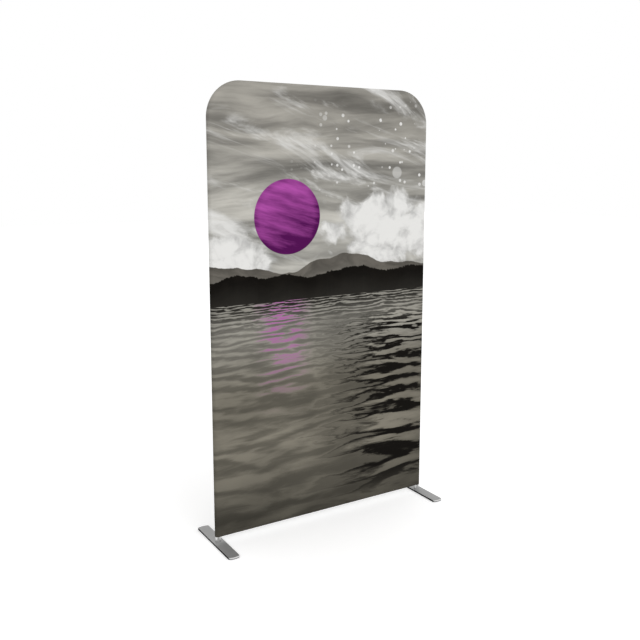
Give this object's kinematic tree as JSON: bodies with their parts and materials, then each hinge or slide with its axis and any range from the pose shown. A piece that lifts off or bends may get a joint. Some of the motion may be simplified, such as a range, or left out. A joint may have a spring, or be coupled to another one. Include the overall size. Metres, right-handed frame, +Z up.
{
  "type": "fabric frame banner",
  "caption": "Free-standing banner: a stretch fabric cover zipped over a push-in tube frame with round top corners, standing on flat steel foot plates.",
  "frame": {"origin": "on the floor, under the middle of the banner", "axes": "+X along the banner's width, to the right when seen from its printed front; -Y out of the printed front; +Z up"},
  "size_m": [1.1652, 0.35, 2],
  "materials": {
    "aluminium_tube": "satin",
    "spring_steel": "plain",
    "printed_fabric": "matt, printed",
    "back_fabric": "matt, printed",
    "zip_tape": "matt",
    "zip_teeth": "satin",
    "zip_metal": "dark nickel",
    "foot_steel": "satin, with dark long sides",
    "pad_rubber": "matt"
  },
  "bodies": {
    "frame": {"top_tube": "aluminium_tube", "top_corner_left": "aluminium_tube", "top_corner_right": "aluminium_tube", "upper_upright_left": "aluminium_tube", "upper_upright_right": "aluminium_tube", "lower_upright_left": "aluminium_tube", "lower_upright_right": "aluminium_tube", "bottom_stub_left": "aluminium_tube", "bottom_stub_right": "aluminium_tube", "bottom_tube_left": "aluminium_tube", "bottom_tube_right": "aluminium_tube", "fabric_front": "printed_fabric", "fabric_back": "back_fabric", "zip_tape_upper": "zip_tape", "zip_tape_lower": "zip_tape", "zip_teeth_upper": "zip_teeth", "zip_teeth_lower": "zip_teeth", "zip_stop_left": "zip_metal", "zip_stop_right": "zip_metal", "snap_spring_top_left": "spring_steel", "snap_spring_top_right": "spring_steel", "snap_spring_corner_left": "spring_steel", "snap_spring_corner_right": "spring_steel", "snap_spring_middle_left": "spring_steel", "snap_spring_middle_right": "spring_steel", "snap_spring_bottom_left": "spring_steel", "snap_spring_bottom_right": "spring_steel", "snap_spring_bottom_middle": "spring_steel"},
    "left_spigot": {"foot_spigot_left": "aluminium_tube", "foot_screw_left": "spring_steel"},
    "left_foot": {"foot_plate_left": "foot_steel", "foot_pad_left_front": "pad_rubber", "foot_pad_left_rear": "pad_rubber"},
    "right_spigot": {"foot_spigot_right": "aluminium_tube", "foot_screw_right": "spring_steel"},
    "right_foot": {"foot_plate_right": "foot_steel", "foot_pad_right_front": "pad_rubber", "foot_pad_right_rear": "pad_rubber"},
    "button_top_left": {"snap_button_top_left": "spring_steel"},
    "button_top_right": {"snap_button_top_right": "spring_steel"},
    "button_corner_left": {"snap_button_corner_left": "spring_steel"},
    "button_corner_right": {"snap_button_corner_right": "spring_steel"},
    "button_middle_left": {"snap_button_middle_left": "spring_steel"},
    "button_middle_right": {"snap_button_middle_right": "spring_steel"},
    "button_bottom_left": {"snap_button_bottom_left": "spring_steel"},
    "button_bottom_right": {"snap_button_bottom_right": "spring_steel"},
    "button_bottom_middle": {"snap_button_bottom_middle": "spring_steel"},
    "slider": {"zip_slider": "zip_metal"},
    "pull_tab": {"zip_pull_tab": "zip_metal"}
  },
  "joints": [
    {"name": "left_foot_pull_off", "type": "slide", "parent": "frame", "child": "left_spigot", "axis": [0, 0, -1], "range_m": [0, 0.07]},
    {"name": "left_foot_swivel", "type": "hinge", "parent": "left_spigot", "child": "left_foot", "pos_m": [-0.5566, 0, 0.0088], "axis": [0, 0, 1], "continuous": true},
    {"name": "right_foot_pull_off", "type": "slide", "parent": "frame", "child": "right_spigot", "axis": [0, 0, -1], "range_m": [0, 0.07]},
    {"name": "right_foot_swivel", "type": "hinge", "parent": "right_spigot", "child": "right_foot", "pos_m": [0.5566, 0, 0.0088], "axis": [0, 0, 1], "continuous": true},
    {"name": "top_left_button_press", "type": "slide", "parent": "frame", "child": "button_top_left", "axis": [0, 0, 1], "range_m": [0, 0.0038], "stiffness_N_per_m": 1800, "springref_m": -0.003, "deforming": ["snap_spring_top_left"]},
    {"name": "top_right_button_press", "type": "slide", "parent": "frame", "child": "button_top_right", "axis": [0, 0, 1], "range_m": [0, 0.0038], "stiffness_N_per_m": 1800, "springref_m": -0.003, "deforming": ["snap_spring_top_right"]},
    {"name": "corner_left_button_press", "type": "slide", "parent": "frame", "child": "button_corner_left", "axis": [-1, 0, 0], "range_m": [0, 0.0038], "stiffness_N_per_m": 1800, "springref_m": -0.003, "deforming": ["snap_spring_corner_left"]},
    {"name": "corner_right_button_press", "type": "slide", "parent": "frame", "child": "button_corner_right", "axis": [1, 0, 0], "range_m": [0, 0.0038], "stiffness_N_per_m": 1800, "springref_m": -0.003, "deforming": ["snap_spring_corner_right"]},
    {"name": "middle_left_button_press", "type": "slide", "parent": "frame", "child": "button_middle_left", "axis": [-1, 0, 0], "range_m": [0, 0.0038], "stiffness_N_per_m": 1800, "springref_m": -0.003, "deforming": ["snap_spring_middle_left"]},
    {"name": "middle_right_button_press", "type": "slide", "parent": "frame", "child": "button_middle_right", "axis": [1, 0, 0], "range_m": [0, 0.0038], "stiffness_N_per_m": 1800, "springref_m": -0.003, "deforming": ["snap_spring_middle_right"]},
    {"name": "bottom_left_button_press", "type": "slide", "parent": "frame", "child": "button_bottom_left", "axis": [0, 0, -1], "range_m": [0, 0.0038], "stiffness_N_per_m": 1800, "springref_m": -0.003, "deforming": ["snap_spring_bottom_left"]},
    {"name": "bottom_right_button_press", "type": "slide", "parent": "frame", "child": "button_bottom_right", "axis": [0, 0, -1], "range_m": [0, 0.0038], "stiffness_N_per_m": 1800, "springref_m": -0.003, "deforming": ["snap_spring_bottom_right"]},
    {"name": "bottom_middle_button_press", "type": "slide", "parent": "frame", "child": "button_bottom_middle", "axis": [0, 0, -1], "range_m": [0, 0.0038], "stiffness_N_per_m": 1800, "springref_m": -0.003, "deforming": ["snap_spring_bottom_middle"]},
    {"name": "zip_run", "type": "slide", "parent": "frame", "child": "slider", "axis": [-1, 0, 0], "range_m": [0, 1.036]},
    {"name": "pull_tab_flip", "type": "hinge", "parent": "slider", "child": "pull_tab", "pos_m": [0.5181, 0.0172, 0.0685], "axis": [0, 0, -1], "range_deg": [0, 175]}
  ]
}
